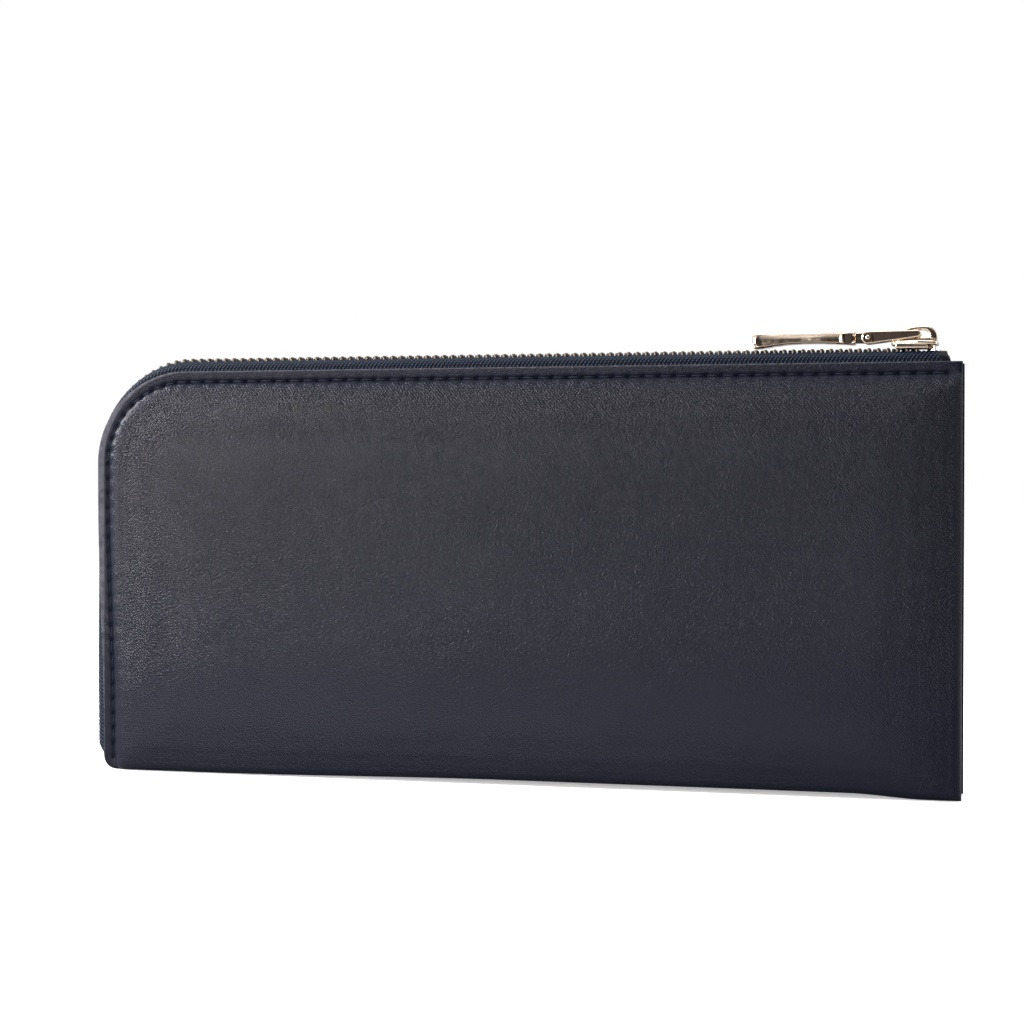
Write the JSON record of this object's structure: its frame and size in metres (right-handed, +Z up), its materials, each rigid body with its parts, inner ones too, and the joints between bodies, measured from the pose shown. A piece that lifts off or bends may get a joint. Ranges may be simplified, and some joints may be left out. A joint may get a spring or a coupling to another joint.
{
  "type": "long wallet with L-shaped zip",
  "caption": "Flat leather long wallet that stands on its folded edge; an L-shaped metal zip with a bar pull opens the top and one side onto card slots and a coin pocket.",
  "frame": {"origin": "middle of the bottom face, in the wallet's middle plane, centred between the zip's left side and the closed right side", "axes": "+X to the closed right side, +Z up, -Y out of the front panel"},
  "size_m": [0.1982, 0.018, 0.0997],
  "materials": {
    "navy_leather": "fine-grained smooth navy leather, satin",
    "navy_lining": "matte woven navy lining",
    "zip_tape": "woven blue-navy zip tape, matte",
    "champagne_metal": "polished pale champagne-gold plating",
    "thread": "twisted navy sewing thread"
  },
  "bodies": {
    "back": {"back_panel": "navy_leather", "bottom_fold": "navy_leather", "bottom_lining": "navy_lining", "back_lining": "navy_lining", "stitching_back": "thread", "zip_tape_back": "zip_tape", "zip_teeth_back": "champagne_metal", "top_stop_back": "champagne_metal", "bottom_stop": "champagne_metal", "side_gusset": "navy_leather", "coin_wall": "navy_lining", "coin_top_strip": "navy_lining", "coin_trim_lower": "navy_leather", "coin_trim_upper": "navy_leather", "coin_tape_lower": "zip_tape", "coin_tape_upper": "zip_tape", "coin_coil_lower": "zip_tape", "coin_coil_upper": "zip_tape", "coin_stop_left": "champagne_metal", "coin_stop_right": "champagne_metal"},
    "front": {"front_panel": "navy_leather", "front_lining": "navy_lining", "stitching_front": "thread", "zip_tape_front": "zip_tape", "zip_teeth_front": "champagne_metal", "top_stop_front": "champagne_metal", "card_slot_1": "navy_leather", "card_slot_2": "navy_leather", "card_slot_3": "navy_leather", "card_slot_4": "navy_leather", "card_stitching": "thread"},
    "slider": {"slider_body": "champagne_metal", "slider_bail": "champagne_metal"},
    "pull_link": {"pull_link": "champagne_metal", "pull_rivet": "champagne_metal"},
    "pull_bar": {"pull_bar": "champagne_metal"},
    "coin_slider": {"coin_slider": "champagne_metal"},
    "coin_pull": {"coin_pull": "champagne_metal"}
  },
  "joints": [
    {"name": "slider_slide", "type": "slide", "parent": "back", "child": "slider", "axis": [-1, 0, 0], "range_m": [0, 0.155], "deforming": ["zip_teeth_back", "zip_tape_back"]},
    {"name": "front_open", "type": "hinge", "parent": "back", "child": "front", "pos_m": [0, -0.0055, 0], "axis": [1, 0, 0], "range_deg": [0, 15], "deforming": ["zip_teeth_front", "zip_tape_front", "side_gusset"]},
    {"name": "link_swing", "type": "hinge", "parent": "slider", "child": "pull_link", "pos_m": [0.0895, 0, 0.0981], "axis": [0, 1, 0], "range_deg": [0, 150]},
    {"name": "pull_swing", "type": "hinge", "parent": "pull_link", "child": "pull_bar", "pos_m": [0.0792, 0, 0.0974], "axis": [0, 1, 0], "range_deg": [0, 45]},
    {"name": "coin_slider_slide", "type": "slide", "parent": "back", "child": "coin_slider", "axis": [-1, 0, 0], "range_m": [0, 0.145], "deforming": ["coin_coil_lower", "coin_coil_upper"]},
    {"name": "coin_pull_swing", "type": "hinge", "parent": "coin_slider", "child": "coin_pull", "pos_m": [0.0745, 0.0022, 0.0635], "axis": [-1, 0, 0], "range_deg": [0, 25]}
  ],
  "couplings": [
    {"joint": "front_open", "follows": "slider_slide", "rad_per_m": 1.689}
  ]
}
